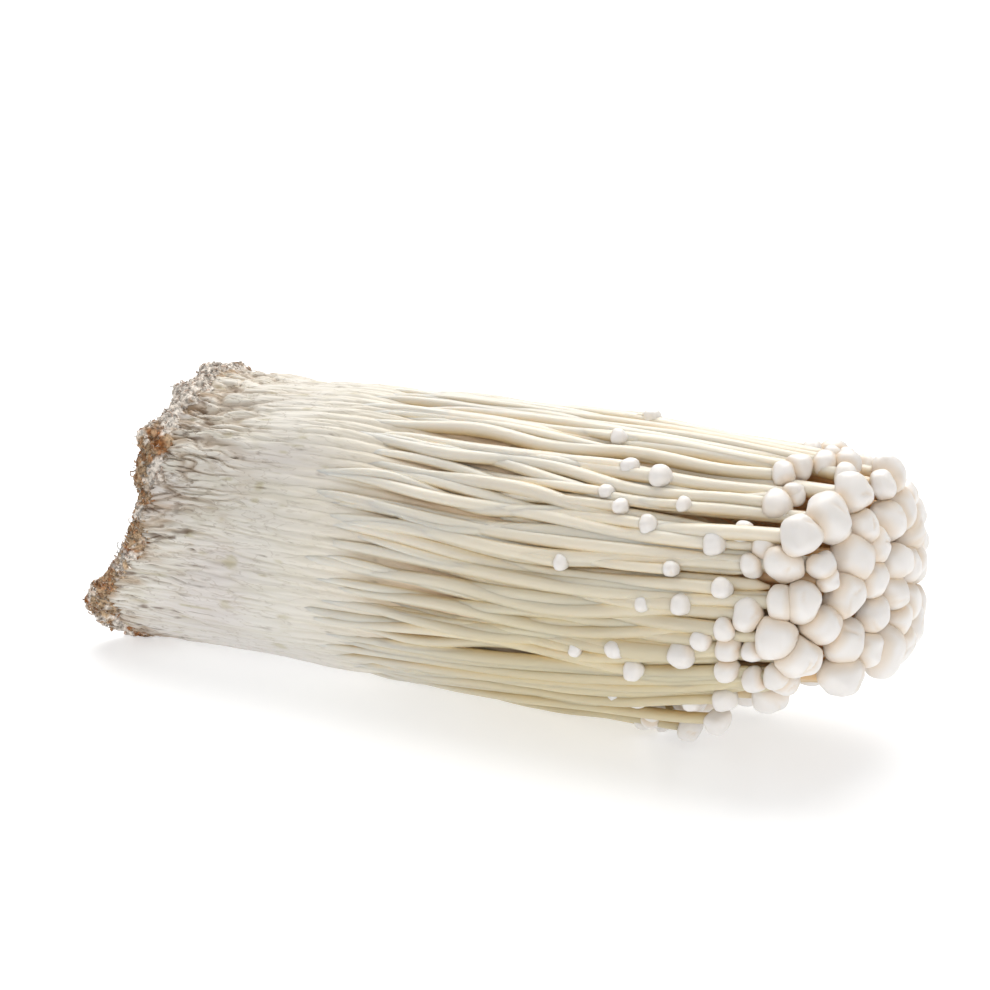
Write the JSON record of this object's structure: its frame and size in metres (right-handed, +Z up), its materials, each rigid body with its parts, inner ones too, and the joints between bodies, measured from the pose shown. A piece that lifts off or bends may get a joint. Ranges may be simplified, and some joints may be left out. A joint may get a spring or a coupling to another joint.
{
  "type": "enoki mushroom bunch",
  "caption": "Bunch of enoki mushrooms lying on its side: long pale stems grown together at a crusted root end, with small round caps crowded at the other end.",
  "frame": {"origin": "on the surface that the bunch lies on, under the middle of its bounding box", "axes": "+X along the bunch from the cut root end to the caps, +Z up, -Y towards the side that shows best"},
  "size_m": [0.1588, 0.0551, 0.0542],
  "materials": {
    "mushroom": "cream-white mushroom flesh, satin caps and stems, slightly translucent",
    "crust": "matt crumbly brown growing medium with white mycelium"
  },
  "bodies": {
    "root": {"mushroom_bunch": "mushroom", "root_crust": "crust"}
  },
  "joints": []
}
